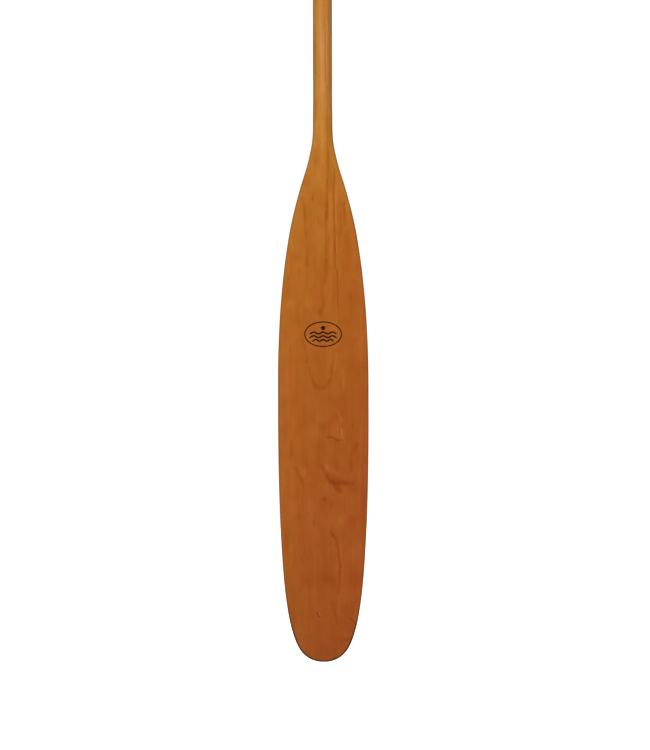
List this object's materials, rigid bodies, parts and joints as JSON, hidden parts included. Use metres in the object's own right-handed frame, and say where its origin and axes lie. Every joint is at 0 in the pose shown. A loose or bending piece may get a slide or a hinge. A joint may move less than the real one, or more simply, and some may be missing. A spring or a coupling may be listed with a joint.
{
  "type": "canoe paddle",
  "caption": "One-blade wooden canoe paddle with a long otter-tail blade, an oval shaft and a pear grip.",
  "frame": {"origin": "top centre of the pear grip, where the upper palm rests", "axes": "+Z along the shaft towards the grip, X across the blade, the printed front of the blade faces -Y"},
  "size_m": [0.1272, 0.0302, 1.4726],
  "materials": {
    "stave_wood": "satin varnish on cherry, golden along the shaft and redder towards the tip",
    "wing_wood": "satin varnish on reddish-brown cherry",
    "grip_wood": "satin varnish on golden cherry",
    "mark_film": "dark brown ink under the varnish"
  },
  "bodies": {
    "root": {"shaft_stave": "stave_wood", "blade_wing_left": "wing_wood", "blade_wing_right": "wing_wood", "grip_cheek_left": "grip_wood", "grip_cheek_right": "grip_wood", "maker_mark": "mark_film"}
  },
  "joints": []
}
